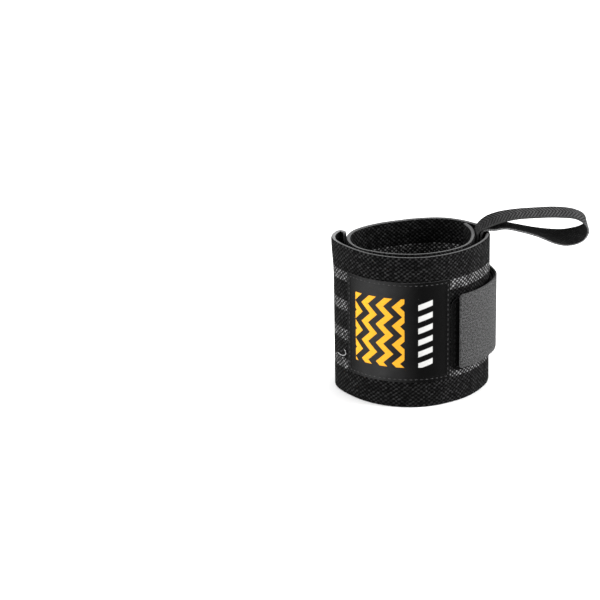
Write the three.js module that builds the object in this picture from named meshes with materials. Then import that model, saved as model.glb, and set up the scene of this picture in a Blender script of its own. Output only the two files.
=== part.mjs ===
import * as THREE from "three";

// Wrist wrap, rolled up and standing on its edge. Millimetres, +Z up, the label faces -Y.
// An elastic band winds clockwise, seen from above, from its inner end to its outer end.
// A sheet is a box bent round the roll: each of its points has a distance along the band,
// a distance out from the band's middle and a height above the edge that the roll stands on.

// Elastic band
const BAND_WIDTH = 80;
const BAND_WALL = 2.2;
const LAYER_GAP = 0.35; // between two cloths that touch

// Roll
const COIL_RADIUS = 33; // of the first turn, at the middle of the wall
const COIL_SLACK = 6; // the loosest gap between the first turn and the second
const INNER_END_BEARING = 40; // degrees from +X, anticlockwise
const OUTER_END_TURN = 606; // degrees wound from the inner end to the outer end
const FLARE = 0.1; // the upper edge stands out this much further than the lower edge
const LEAN_FRONT = 3; // and is this much nearer the front
const LEAN_LEFT = 1.3; // and this much further left

// Free upper corner of the outer end, which curls in above the strap
const CURL_LENGTH = 34;
const CURL_FLARE = 1.2;

// Label
const BARE_END = 38.5; // from the outer end to the label
const LABEL_LENGTH = 56.3;
const LABEL_HEIGHT = 53;
const LABEL_WALL = 0.6;
const LABEL_MIDDLE = 40.5; // height of its centre

// Loop patch
const PATCH_LENGTH = 95;
const PATCH_HEIGHT = 39.1;
const PATCH_WALL = 1;
const PATCH_MIDDLE = 36.75;
const PATCH_CORNER = 5;

// Hook strap and its hooks
const STRAP_LENGTH = 146.5;
const STRAP_SEAM = 16; // the stretch sewn under the band's outer end
const STRAP_HEIGHT = 39.5;
const STRAP_WALL = 1;
const STRAP_MIDDLE = 38.6;
const STRAP_CORNER = 1.5;
const HOOK_LENGTH = 78;
const HOOK_INSET = 1; // from the strap's edges
const HOOK_WALL = 0.6;

// Thumb loop
const TAPE_WIDTH = 12;
const TAPE_WALL = 1.2;
const TAPE_SET_IN = 15.5; // from the band's inner end to the middle of the tape
const TAPE_HEM = 1.5; // from the band's lower edge to the tape
const TAPE_RETURN = 18; // how far the second leg goes down below the band's upper edge
const LOOP_REACH = 59; // from the band's inner end outwards
const LOOP_HEIGHT = 14.5;

// Fineness of the facets
const FACET_LENGTH = 2.8;
const TAPE_FACET = 3;
const CORNER_FACETS = 4;

// First turn: reach is a share of COIL_RADIUS
const FIRST_TURN = [
  { turn: 0, reach: 1.16 },
  { turn: 20, reach: 1.05 },
  { turn: 40, reach: 0.97 },
  { turn: 70, reach: 0.945 },
  { turn: 100, reach: 0.925 },
  { turn: 130, reach: 0.95 },
  { turn: 160, reach: 0.98 },
  { turn: 180, reach: 1.01 },
  { turn: 200, reach: 0.985 },
  { turn: 220, reach: 0.95 },
  { turn: 240, reach: 0.915 },
  { turn: 260, reach: 0.867 },
  { turn: 280, reach: 0.857 },
  { turn: 300, reach: 0.893 },
  { turn: 320, reach: 1.02 },
  { turn: 340, reach: 1.19 },
];

// Second turn: slack is a share of COIL_SLACK, beyond what lies between the two turns
const SECOND_TURN = [
  { turn: 360, slack: 0.08 },
  { turn: 370, slack: 0.14 },
  { turn: 380, slack: 0.22 },
  { turn: 390, slack: 0.327 },
  { turn: 400, slack: 0.261 },
  { turn: 410, slack: 0.209 },
  { turn: 420, slack: 0.253 },
  { turn: 430, slack: 0.291 },
  { turn: 440, slack: 0.284 },
  { turn: 450, slack: 0.32 },
  { turn: 460, slack: 0.379 },
  { turn: 480, slack: 0.54 },
  { turn: 500, slack: 0.54 },
  { turn: 520, slack: 0.37 },
  { turn: 540, slack: 0.09 },
  { turn: 550, slack: 0 },
  { turn: 565, slack: 0 },
  { turn: 580, slack: 0.07 },
  { turn: 606, slack: 0.02 },
];

// Curled corner: along and lies are shares of CURL_LENGTH, the one in the cloth and the other
// round the roll. flare is a share of CURL_FLARE, and dip one of the room to the first turn.
const CURL = [
  { along: 0, lies: 0, flare: 0, dip: 0 },
  { along: 0.19, lies: 0.19, flare: 0.14, dip: 0 },
  { along: 0.37, lies: 0.365, flare: 0.57, dip: 0 },
  { along: 0.48, lies: 0.465, flare: 0.86, dip: 0 },
  { along: 0.585, lies: 0.57, flare: 1, dip: 0 },
  { along: 0.7, lies: 0.68, flare: 1, dip: 0 },
  { along: 0.8, lies: 0.775, flare: 0.8, dip: 0 },
  { along: 0.87, lies: 0.83, flare: 0.4, dip: 0.02 },
  { along: 0.92, lies: 0.838, flare: 0.1, dip: 0.22 },
  { along: 0.97, lies: 0.81, flare: 0, dip: 0.6 },
  { along: 1, lies: 0.785, flare: 0, dip: 0.85 },
];

// Free part of the thumb loop, from the upper strand round to the lower one: out is a share of
// LOOP_REACH, rise a share of LOOP_HEIGHT above the band's edge, tilt lifts the far edge, degrees
const LOOP = [
  { out: 0.11, rise: 0.29, tilt: 11 },
  { out: 0.21, rise: 0.465, tilt: 11 },
  { out: 0.37, rise: 0.593, tilt: 8 },
  { out: 0.55, rise: 0.641, tilt: 8 },
  { out: 0.73, rise: 0.655, tilt: 9 },
  { out: 0.89, rise: 0.572, tilt: 8 },
  { out: 0.97, rise: 0.366, tilt: 12 },
  { out: 0.985, rise: 0.1, tilt: 14 },
  { out: 0.93, rise: -0.145, tilt: 27 },
  { out: 0.82, rise: -0.269, tilt: 29 },
  { out: 0.72, rise: -0.24, tilt: 22 },
  { out: 0.55, rise: -0.065, tilt: 5 },
  { out: 0.38, rise: 0.1, tilt: 0 },
  { out: 0.27, rise: 0.18, tilt: 0 },
];

const { clamp, degToRad, lerp, smoothstep } = THREE.MathUtils;

// A smooth line through one column of a table, read against another
function smoothColumn(rows, from, to) {
  const line = new THREE.CubicInterpolant(
    rows.map((row) => row[from]),
    rows.map((row) => row[to]),
    1,
    new Float64Array(1),
  );
  return (value) => line.evaluate(value)[0];
}

// What lies between the turns: two legs of tape near the inner end, and the strap with what
// it closes on under the outer end. The shares of the tape's span are where the outer turn
// starts to leave the tape, and where it has come down before it and beyond it.
const TAPE_BRIDGE = { leaves: 0.6, before: 1.3, beyond: 2.2 };
const strapStand = BAND_WALL / 2 + 3 * LAYER_GAP + PATCH_WALL + HOOK_WALL;
const tapeTurn = THREE.MathUtils.radToDeg(TAPE_SET_IN / (COIL_RADIUS * FIRST_TURN[1].reach));
const tapeSpan = THREE.MathUtils.radToDeg(TAPE_WIDTH / COIL_RADIUS);
const seamTurn = THREE.MathUtils.radToDeg(STRAP_SEAM / COIL_RADIUS);
const slackAt = smoothColumn(SECOND_TURN, "turn", "slack");

function spacingAt(turn) {
  const fromTape = (turn - 360 - tapeTurn) / tapeSpan;
  const lands = fromTape > 0 ? TAPE_BRIDGE.beyond : TAPE_BRIDGE.before;
  const overTape = 1 - smoothstep(Math.abs(fromTape), TAPE_BRIDGE.leaves, lands);
  const tapeRoom = 2 * (TAPE_WALL + LAYER_GAP) * overTape;
  const seamStart = OUTER_END_TURN - 1.1 * seamTurn;
  const strapRoom = strapStand - BAND_WALL / 2 + STRAP_WALL;
  const overStrap = smoothstep(turn, seamStart - 40, seamStart);
  return BAND_WALL + LAYER_GAP + COIL_SLACK * slackAt(turn) + tapeRoom + strapRoom * overStrap;
}

const firstTurn = FIRST_TURN.map((row) => ({ turn: row.turn, radius: row.reach * COIL_RADIUS }));
for (const row of firstTurn.slice(0, 2)) {
  firstTurn.push({ turn: row.turn + 360, radius: row.radius + spacingAt(row.turn + 360) });
}
const firstRadiusAt = smoothColumn(firstTurn, "turn", "radius");

function radiusAt(turn) {
  if (turn <= 360) {
    return firstRadiusAt(turn);
  }
  return radiusAt(turn - 360) + spacingAt(turn);
}

function coilPoint(turn) {
  const bearing = degToRad(INNER_END_BEARING - turn);
  const radius = radiusAt(turn);
  return new THREE.Vector2(Math.cos(bearing), Math.sin(bearing)).multiplyScalar(radius);
}

// Lengths along the middle of the wall, one for each degree
const turns = [0];
const lengths = [0];
for (let turn = 1; turn <= OUTER_END_TURN + 2; turn += 1) {
  const step = coilPoint(turn).distanceTo(coilPoint(turn - 1));
  turns.push(turn);
  lengths.push(lengths[lengths.length - 1] + step);
}
const turnLine = new THREE.LinearInterpolant(lengths, turns, 1, new Float64Array(1));
const lengthLine = new THREE.LinearInterpolant(turns, lengths, 1, new Float64Array(1));
const turnAt = (length) => turnLine.evaluate(length)[0];
const lengthAt = (turn) => lengthLine.evaluate(turn)[0];
const bandLength = lengthAt(OUTER_END_TURN);

// The middle of the wall without the curl, and the way that it faces
function flatPoint(length) {
  return coilPoint(turnAt(length));
}

function outwardOf(pointAt, length) {
  const step = 0.5;
  const before = pointAt(Math.max(length - step, 0));
  const after = pointAt(Math.min(length + step, bandLength));
  const along = after.sub(before).normalize();
  return new THREE.Vector2(-along.y, along.x);
}

const curlStart = bandLength - CURL_LENGTH;
const liesAt = smoothColumn(CURL, "along", "lies");
const flareAt = smoothColumn(CURL, "along", "flare");
const dipAt = smoothColumn(CURL, "along", "dip");

function curledPoint(length) {
  const along = (length - curlStart) / CURL_LENGTH;
  const lies = curlStart + CURL_LENGTH * liesAt(along);
  const room = spacingAt(turnAt(lies)) - BAND_WALL - LAYER_GAP;
  const out = CURL_FLARE * flareAt(along) - room * dipAt(along);
  return flatPoint(lies).addScaledVector(outwardOf(flatPoint, lies), out);
}

// The middle of the wall at a height: above the strap the outer end curls in
function wallPoint(length, height) {
  if (length <= curlStart) {
    return flatPoint(length);
  }
  const strapTop = STRAP_MIDDLE + STRAP_HEIGHT / 2;
  const curled = smoothstep(height, strapTop, BAND_WIDTH);
  return flatPoint(length).lerp(curledPoint(length), curled);
}

// A place on the roll: along the band, out from the middle of its wall, up from the lower edge
function onRoll(length, out, height) {
  const centre = wallPoint(length, height);
  const outward = outwardOf((at) => wallPoint(at, height), length);
  const below = 1 - clamp(height / BAND_WIDTH, 0, 1);
  const inward = centre.clone().normalize().multiplyScalar(-FLARE * below);
  const plan = centre.addScaledVector(outward, out).add(inward);
  return new THREE.Vector3(plan.x + LEAN_LEFT * below, plan.y + LEAN_FRONT * below, height);
}

// Distances from one end of a sheet to the other, closer together in a rounded corner
function stationsOf(from, to, corners) {
  const near = [];
  const far = [];
  for (let i = 0; i < CORNER_FACETS; i += 1) {
    const share = 1 - Math.cos((Math.PI / 2) * (i / CORNER_FACETS));
    if (corners[0] > 0) {
      near.push(from + corners[0] * share);
    }
    if (corners[1] > 0) {
      far.unshift(to - corners[1] * share);
    }
  }
  const start = from + corners[0];
  const end = to - corners[1];
  const steps = Math.max(1, Math.round((end - start) / FACET_LENGTH));
  const middle = Array.from({ length: steps + 1 }, (_, i) => lerp(start, end, i / steps));
  return [...near, ...middle, ...far];
}

// How much of the half height a rounded corner takes away at a distance from the end
function cornerCut(distance, radius) {
  if (distance >= radius) {
    return 0;
  }
  return radius - Math.sqrt(radius ** 2 - (radius - distance) ** 2);
}

// A sheet on the roll. corners are the radii at its two ends.
function bentSheet({ from, to, inner, wall, middle, height, corners = [0, 0], rows = 6 }) {
  const stations = stationsOf(from, to, corners);
  const geometry = new THREE.BoxGeometry(1, 1, 1, stations.length - 1, 1, rows);
  const points = geometry.attributes.position;
  for (let i = 0; i < points.count; i += 1) {
    const station = Math.round((points.getX(i) + 0.5) * (stations.length - 1));
    const along = stations[station];
    const cut = cornerCut(along - from, corners[0]) + cornerCut(to - along, corners[1]);
    const out = inner + wall * (points.getY(i) + 0.5);
    const up = middle + (height - 2 * cut) * points.getZ(i);
    const place = onRoll(along, out, up);
    points.setXYZ(i, place.x, place.y, place.z);
  }
  geometry.computeVertexNormals();
  return geometry;
}

// The thumb loop's middle line in its own upright plane: x outwards, y above the band's edge
const innerLeg = BAND_WALL / 2 + LAYER_GAP + TAPE_WALL / 2;
const outerLeg = innerLeg + TAPE_WALL + LAYER_GAP;
const overRim = LAYER_GAP + TAPE_WALL / 2;

function loopRows() {
  const crossing = spacingAt(360 + tapeTurn);
  const free = LOOP.map((row) => ({
    out: row.out * LOOP_REACH,
    up: row.rise * LOOP_HEIGHT,
    tilt: row.tilt,
  }));
  return [
    { out: innerLeg, up: TAPE_HEM - BAND_WIDTH, tilt: 0 },
    { out: innerLeg, up: -BAND_WIDTH * 0.66, tilt: 0 },
    { out: innerLeg, up: -BAND_WIDTH * 0.33, tilt: 0 },
    { out: innerLeg, up: -4 * TAPE_WALL, tilt: 0 },
    { out: innerLeg + 0.1 * TAPE_WALL, up: 0.5 * TAPE_WALL, tilt: 0 },
    ...free,
    { out: crossing + 1.4 * BAND_WALL, up: overRim + 0.8 * TAPE_WALL, tilt: 0 },
    { out: outerLeg + 2.2 * TAPE_WALL, up: overRim + 0.8 * TAPE_WALL, tilt: 0 },
    { out: outerLeg + 0.5 * TAPE_WALL, up: overRim, tilt: 0 },
    { out: outerLeg, up: -1.2 * TAPE_WALL, tilt: 0 },
    { out: outerLeg, up: -TAPE_RETURN * 0.6, tilt: 0 },
    { out: outerLeg, up: -TAPE_RETURN, tilt: 0 },
  ];
}

function thumbLoopGeometry() {
  const rows = loopRows();
  const line = new THREE.CatmullRomCurve3(
    rows.map((row) => new THREE.Vector3(row.out, row.up, row.tilt * 0.01)),
    false,
    "centripetal",
  );
  const steps = Math.round(line.getLength() / TAPE_FACET);
  line.arcLengthDivisions = steps * 10;
  const root = flatPoint(TAPE_SET_IN);
  const outward = outwardOf(flatPoint, TAPE_SET_IN);
  const outAxis = new THREE.Vector3(outward.x, outward.y, 0);
  const upAxis = new THREE.Vector3(0, 0, 1);
  const acrossAxis = upAxis.clone().cross(outAxis);
  const origin = new THREE.Vector3(root.x, root.y, BAND_WIDTH);

  const geometry = new THREE.BoxGeometry(1, 1, 1, steps, 1, 4);
  const points = geometry.attributes.position;
  for (let i = 0; i < points.count; i += 1) {
    const share = Math.round((points.getX(i) + 0.5) * steps) / steps;
    const middle = line.getPointAt(share);
    const heading = line.getTangentAt(share).setZ(0).normalize();
    const thick = points.getY(i) * TAPE_WALL;
    const wide = points.getZ(i) * TAPE_WIDTH;

    // The leg that lies on the roll follows it, and the free part is straight across
    const out = middle.x + heading.y * thick;
    const up = middle.y - heading.x * thick;
    const lying = onRoll(TAPE_SET_IN - wide, out, BAND_WIDTH + up);

    const along = outAxis.clone().multiplyScalar(heading.x).addScaledVector(upAxis, heading.y);
    const lift = Math.tan(degToRad(middle.z * 100));
    const across = acrossAxis.clone().addScaledVector(upAxis, lift);
    across.addScaledVector(along, -across.dot(along)).normalize();
    const face = across.clone().cross(along);
    const free = origin.clone().addScaledVector(outAxis, middle.x).addScaledVector(upAxis, middle.y);
    free.addScaledVector(face, thick).addScaledVector(across, wide);

    const freed = smoothstep(middle.y, -6 * TAPE_WALL, 0);
    const onTheWayDown = middle.x > outerLeg + 3 * TAPE_WALL ? 1 : freed;
    const place = lying.lerp(free, onTheWayDown);
    points.setXYZ(i, place.x, place.y, place.z);
  }
  geometry.computeVertexNormals();
  return geometry;
}

function piece(name, geometry, color, roughness) {
  const material = new THREE.MeshStandardMaterial({ color, roughness, metalness: 0 });
  const mesh = new THREE.Mesh(geometry, material);
  mesh.name = name;
  return mesh;
}

function elasticBand() {
  const geometry = bentSheet({
    from: 0,
    to: bandLength,
    inner: -BAND_WALL / 2,
    wall: BAND_WALL,
    middle: BAND_WIDTH / 2,
    height: BAND_WIDTH,
    rows: 8,
  });
  return piece("elastic_band", geometry, 0x1b1b1c, 0.95);
}

function label() {
  const geometry = bentSheet({
    from: bandLength - BARE_END - LABEL_LENGTH,
    to: bandLength - BARE_END,
    inner: BAND_WALL / 2 + LAYER_GAP,
    wall: LABEL_WALL,
    middle: LABEL_MIDDLE,
    height: LABEL_HEIGHT,
  });
  return piece("label", geometry, 0x2c2c2d, 0.55);
}

function loopPatch() {
  const end = bandLength - BARE_END - LABEL_LENGTH - LAYER_GAP;
  const geometry = bentSheet({
    from: end - PATCH_LENGTH,
    to: end,
    inner: BAND_WALL / 2 + LAYER_GAP,
    wall: PATCH_WALL,
    middle: PATCH_MIDDLE,
    height: PATCH_HEIGHT,
    corners: [PATCH_CORNER, PATCH_CORNER],
  });
  return piece("loop_patch", geometry, 0x0d0d0e, 1);
}

// The strap lies one turn further out than the stretch of band beneath it
const strapRoot = lengthAt(OUTER_END_TURN - 360) - STRAP_SEAM;
const strapTip = strapRoot + STRAP_LENGTH;

function hookStrap() {
  const geometry = bentSheet({
    from: strapRoot,
    to: strapTip,
    inner: strapStand,
    wall: STRAP_WALL,
    middle: STRAP_MIDDLE,
    height: STRAP_HEIGHT,
    corners: [0, STRAP_CORNER],
  });
  return piece("hook_strap", geometry, 0x6b6b6b, 0.85);
}

function hookPad() {
  const geometry = bentSheet({
    from: strapTip - HOOK_INSET - HOOK_LENGTH,
    to: strapTip - HOOK_INSET,
    inner: strapStand - LAYER_GAP - HOOK_WALL,
    wall: HOOK_WALL,
    middle: STRAP_MIDDLE,
    height: STRAP_HEIGHT - 2 * HOOK_INSET,
  });
  return piece("hook_pad", geometry, 0x0b0b0c, 0.8);
}

function thumbLoop() {
  return piece("thumb_loop", thumbLoopGeometry(), 0x454546, 0.9);
}

const wrap = new THREE.Group();
wrap.add(elasticBand(), thumbLoop(), label(), loopPatch(), hookStrap(), hookPad());

// The origin is under the middle of the whole wrap, on the surface that it stands on
const box = new THREE.Box3().setFromObject(wrap);
const centre = box.getCenter(new THREE.Vector3());
wrap.position.set(-centre.x, -centre.y, -box.min.z);

export default wrap;
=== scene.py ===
# %% [markdown]
# # A rolled wrist wrap
#
# A wrist wrap is one long piece of black elastic webbing, rolled up here in a turn and two
# thirds and stood on its edge. A thumb loop of ribbed tape is sewn to the inner end. A satin
# label, a patch of brushed loop pile and a knitted strap with a hook pad close the outer end.
#
# Everything on it is cloth that was cut flat and then bent round the roll. The lesson does the
# same: each piece is cut as a flat blank with bmesh operators, and one function then bends the
# blank's points round the roll. The pattern of the cloth is drawn on the flat blank, so it
# follows every bend, as a real weave does.

# %% The CAD model as a fixed frame
import bisect
import math

import bmesh
import bpy
from mathutils import Matrix, Vector


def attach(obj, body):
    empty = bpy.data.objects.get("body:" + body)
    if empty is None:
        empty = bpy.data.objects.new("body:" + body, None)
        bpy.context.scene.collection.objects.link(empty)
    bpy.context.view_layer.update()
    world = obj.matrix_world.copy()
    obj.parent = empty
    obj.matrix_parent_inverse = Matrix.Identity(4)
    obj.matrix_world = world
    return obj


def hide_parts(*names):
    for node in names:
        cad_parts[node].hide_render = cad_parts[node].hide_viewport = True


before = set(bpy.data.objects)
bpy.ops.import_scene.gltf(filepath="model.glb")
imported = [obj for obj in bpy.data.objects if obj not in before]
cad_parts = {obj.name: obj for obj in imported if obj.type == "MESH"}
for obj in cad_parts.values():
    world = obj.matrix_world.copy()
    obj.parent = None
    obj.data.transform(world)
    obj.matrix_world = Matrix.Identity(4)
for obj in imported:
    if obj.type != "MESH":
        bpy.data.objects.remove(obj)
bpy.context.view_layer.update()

print("CAD nodes:", ", ".join(sorted(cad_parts)))

# %% [markdown]
# ## Camera
#
# The wrap is seen from the front and 18 degrees above. A long lens keeps the upright sides
# nearly parallel, as in a catalogue picture. The camera comes first, because every later
# choice is judged through it.

# %% Camera
MM = 0.001
CAMERA_PLACE = (-81.833, -1220.807, 442)
CAMERA_TILT = 18

camera_data = bpy.data.cameras.new("camera")
camera_data.lens = 150
camera_data.sensor_width = 36
camera_data.clip_end = 20
camera = bpy.data.objects.new("camera", camera_data)
camera.location = Vector(CAMERA_PLACE) * MM
camera.rotation_euler = (math.radians(90 - CAMERA_TILT), 0, 0)
bpy.context.scene.collection.objects.link(camera)
bpy.context.scene.camera = camera
print("Camera at", [round(value, 3) for value in camera.location])

# %% [markdown]
# ## Sizes
#
# These are the sizes that the CAD model was built from, in millimetres. The cloth here has to
# lie where the CAD solids lie, so it is bent round the very same roll.

# %% Sizes
BAND_WIDTH = 80
BAND_WALL = 2.2
LAYER_GAP = 0.35

COIL_RADIUS = 33
COIL_SLACK = 6
INNER_END_BEARING = 40
OUTER_END_TURN = 606
FLARE = 0.1
LEAN_FRONT = 3
LEAN_LEFT = 1.3
CURL_LENGTH = 34
CURL_FLARE = 1.2
ROLL_CENTRE = Vector((-25.883, -1.337, 0))

BARE_END = 38.5
LABEL_LENGTH = 56.3
LABEL_HEIGHT = 53
LABEL_WALL = 0.6
LABEL_MIDDLE = 40.5

PATCH_LENGTH = 95
PATCH_HEIGHT = 39.1
PATCH_WALL = 1
PATCH_MIDDLE = 36.75
PATCH_CORNER = 5

STRAP_LENGTH = 146.5
STRAP_SEAM = 16
STRAP_HEIGHT = 39.5
STRAP_WALL = 1
STRAP_MIDDLE = 38.6
STRAP_CORNER = 1.5
HOOK_LENGTH = 78
HOOK_INSET = 1
HOOK_WALL = 0.6

TAPE_WIDTH = 12
TAPE_WALL = 1.2
TAPE_SET_IN = 15.5
TAPE_HEM = 1.5
TAPE_RETURN = 18
LOOP_REACH = 59
LOOP_HEIGHT = 14.5

# %% [markdown]
# ## Short tables and the smooth line through them
#
# A roll wound by hand isn't a perfect spiral. A short table gives how far out the cloth lies
# at a few turns, and a smooth line through its rows gives every turn between. The line is the
# usual cubic one: at each row it takes the slope of its neighbours.

# %% Smooth line through a table
class SmoothLine:
    """A smooth line through (where, value) rows."""

    def __init__(self, rows):
        self.at = [row[0] for row in rows]
        self.values = [row[1] for row in rows]

    def __call__(self, where):
        at, values = self.at, self.values
        if where <= at[0]:
            return values[0]
        if where >= at[-1]:
            return values[-1]
        i = bisect.bisect_right(at, where)
        start, end = at[i - 1], at[i]
        before = i - 2 if i >= 2 else i
        after = i + 1 if i + 1 < len(at) else i - 1
        weight_before = (end - start) / 2 / (start - at[before])
        weight_after = (end - start) / 2 / (at[after] - end)
        p = (where - start) / (end - start)
        p2, p3 = p * p, p * p * p
        near = (1 + weight_before) * p3 - (1.5 + 2 * weight_before) * p2
        near += (weight_before - 0.5) * p + 1
        far = (-1 - weight_after) * p3 + (1.5 + weight_after) * p2 + 0.5 * p
        return (
            weight_before * (2 * p2 - p3 - p) * values[before]
            + near * values[i - 1]
            + far * values[i]
            + weight_after * (p3 - p2) * values[after]
        )


def ease(value, start, end):
    """0 before start, 1 after end, and smooth between."""
    share = min(max((value - start) / (end - start), 0), 1)
    return share * share * (3 - 2 * share)


# %% Tables of the roll
# turn in degrees from the inner end, and the reach as a share of COIL_RADIUS
FIRST_TURN = [
    (0, 1.16), (20, 1.05), (40, 0.97), (70, 0.945), (100, 0.925), (130, 0.95),
    (160, 0.98), (180, 1.01), (200, 0.985), (220, 0.95), (240, 0.915), (260, 0.867),
    (280, 0.857), (300, 0.893), (320, 1.02), (340, 1.19),
]
# turn in degrees, and the slack as a share of COIL_SLACK
SECOND_TURN = [
    (360, 0.08), (370, 0.14), (380, 0.22), (390, 0.327), (400, 0.261), (410, 0.209),
    (420, 0.253), (430, 0.291), (440, 0.284), (450, 0.32), (460, 0.379), (480, 0.54),
    (500, 0.54), (520, 0.37), (540, 0.09), (550, 0), (565, 0), (580, 0.07), (606, 0.02),
]
# along the cloth, where that lies round the roll, how far it flares and how far it dips in
CURL = [
    (0, 0, 0, 0), (0.19, 0.19, 0.14, 0), (0.37, 0.365, 0.57, 0), (0.48, 0.465, 0.86, 0),
    (0.585, 0.57, 1, 0), (0.7, 0.68, 1, 0), (0.8, 0.775, 0.8, 0), (0.87, 0.83, 0.4, 0.02),
    (0.92, 0.838, 0.1, 0.22), (0.97, 0.81, 0, 0.6), (1, 0.785, 0, 0.85),
]
TAPE_LEAVES, TAPE_LANDS_BEFORE, TAPE_LANDS_BEYOND = 0.6, 1.3, 2.2

slack_at = SmoothLine(SECOND_TURN)
lies_at = SmoothLine([(row[0], row[1]) for row in CURL])
flare_at = SmoothLine([(row[0], row[2]) for row in CURL])
dip_at = SmoothLine([(row[0], row[3]) for row in CURL])

# %% [markdown]
# ## The roll
#
# A place on the roll is given by three lengths: how far along the band, how far out from the
# middle of its wall, and how high above its lower edge. The functions below turn those three
# into a point in space. The second turn lies one wall, one gap and some slack outside the
# first, with more room where the tape and the strap lie between them.

# %% Spacing of the turns
# the outer turn climbs over the strap within CLIMB degrees, and is up just before its seam
CLIMB, SEAM_MARGIN = 40, 1.1

strap_stand = BAND_WALL / 2 + 3 * LAYER_GAP + PATCH_WALL + HOOK_WALL
tape_turn = math.degrees(TAPE_SET_IN / (COIL_RADIUS * FIRST_TURN[1][1]))
tape_span = math.degrees(TAPE_WIDTH / COIL_RADIUS)
seam_turn = math.degrees(STRAP_SEAM / COIL_RADIUS)


def spacing_at(turn):
    """How far a turn lies outside the one before it."""
    from_tape = (turn - 360 - tape_turn) / tape_span
    lands = TAPE_LANDS_BEYOND if from_tape > 0 else TAPE_LANDS_BEFORE
    over_tape = 1 - ease(abs(from_tape), TAPE_LEAVES, lands)
    tape_room = 2 * (TAPE_WALL + LAYER_GAP) * over_tape
    seam_start = OUTER_END_TURN - SEAM_MARGIN * seam_turn
    strap_room = strap_stand - BAND_WALL / 2 + STRAP_WALL
    over_strap = ease(turn, seam_start - CLIMB, seam_start)
    slack = COIL_SLACK * slack_at(turn)
    return BAND_WALL + LAYER_GAP + slack + tape_room + strap_room * over_strap


first_rows = [(turn, reach * COIL_RADIUS) for turn, reach in FIRST_TURN]
for turn, radius in first_rows[:2]:
    first_rows.append((turn + 360, radius + spacing_at(turn + 360)))
first_radius_at = SmoothLine(first_rows)


def radius_at(turn):
    """From the roll's middle to the middle of the band's wall."""
    if turn <= 360:
        return first_radius_at(turn)
    return radius_at(turn - 360) + spacing_at(turn)


def coil_point(turn):
    bearing = math.radians(INNER_END_BEARING - turn)
    return Vector((math.cos(bearing), math.sin(bearing))) * radius_at(turn)


# %% Lengths along the band
turns = list(range(OUTER_END_TURN + 3))
lengths = [0.0]
for turn in turns[1:]:
    lengths.append(lengths[-1] + (coil_point(turn) - coil_point(turn - 1)).length)


def between(rows, values, where):
    """A straight line between the rows on either side."""
    i = min(max(bisect.bisect_right(rows, where), 1), len(rows) - 1)
    share = min(max((where - rows[i - 1]) / (rows[i] - rows[i - 1]), 0), 1)
    return values[i - 1] + (values[i] - values[i - 1]) * share


band_length = between(turns, lengths, OUTER_END_TURN)
curl_start = band_length - CURL_LENGTH
strap_root = between(turns, lengths, OUTER_END_TURN - 360) - STRAP_SEAM
strap_tip = strap_root + STRAP_LENGTH
print(f"The band is {band_length:.1f} mm long, and the strap ends at {strap_tip:.1f} mm")

# %% Places on the roll
STRAP_TOP = STRAP_MIDDLE + STRAP_HEIGHT / 2
SLOPE_STEP = 0.5


def flat_point(length):
    return coil_point(between(lengths, turns, length))


def outward_of(point_at, length):
    """The way out of the roll, square to the band, from two places close by."""
    before = point_at(max(length - SLOPE_STEP, 0))
    after = point_at(min(length + SLOPE_STEP, band_length))
    along = (after - before).normalized()
    return Vector((-along.y, along.x))


def curled_point(length):
    """Where the free corner's upper edge lies, curled back on itself."""
    along = (length - curl_start) / CURL_LENGTH
    lies = curl_start + CURL_LENGTH * lies_at(along)
    room = spacing_at(between(lengths, turns, lies)) - BAND_WALL - LAYER_GAP
    out = CURL_FLARE * flare_at(along) - room * dip_at(along)
    return flat_point(lies) + outward_of(flat_point, lies) * out


def wall_point(length, height):
    if length <= curl_start:
        return flat_point(length)
    curled = ease(height, STRAP_TOP, BAND_WIDTH)
    return flat_point(length).lerp(curled_point(length), curled)


def on_roll(length, out, height):
    """A place on the roll, in millimetres in the CAD's frame."""
    centre = wall_point(length, height)
    outward = outward_of(lambda at: wall_point(at, height), length)
    below = 1 - min(max(height / BAND_WIDTH, 0), 1)
    plan = centre + outward * out - centre.normalized() * FLARE * below
    place = Vector((plan.x + LEAN_LEFT * below, plan.y + LEAN_FRONT * below, height))
    return place + ROLL_CENTRE


# %% [markdown]
# ## Cutting a flat blank
#
# A blank is cut the way a cutter would: a rectangle, its corners rounded with a vertex bevel,
# then crossed by a net of straight cuts so that it can bend. Solidify gives it its thickness,
# and a small bevel rounds its cut edges. A rounded edge catches a thin line of light, and that
# line is what makes a fabric edge look thick.

# %% Flat blanks
def rows_between(start, end, step):
    """Places of the cuts between two ends."""
    count = max(2, round((end - start) / step))
    return [start + (end - start) * i / count for i in range(1, count)]


def cut_across(bm, axis, places):
    normal = Vector((0, 0, 0))
    normal[axis] = 1
    for place in places:
        everything = bm.verts[:] + bm.edges[:] + bm.faces[:]
        bmesh.ops.bisect_plane(
            bm, geom=everything, dist=1e-5, plane_co=normal * place, plane_no=normal
        )


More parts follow.
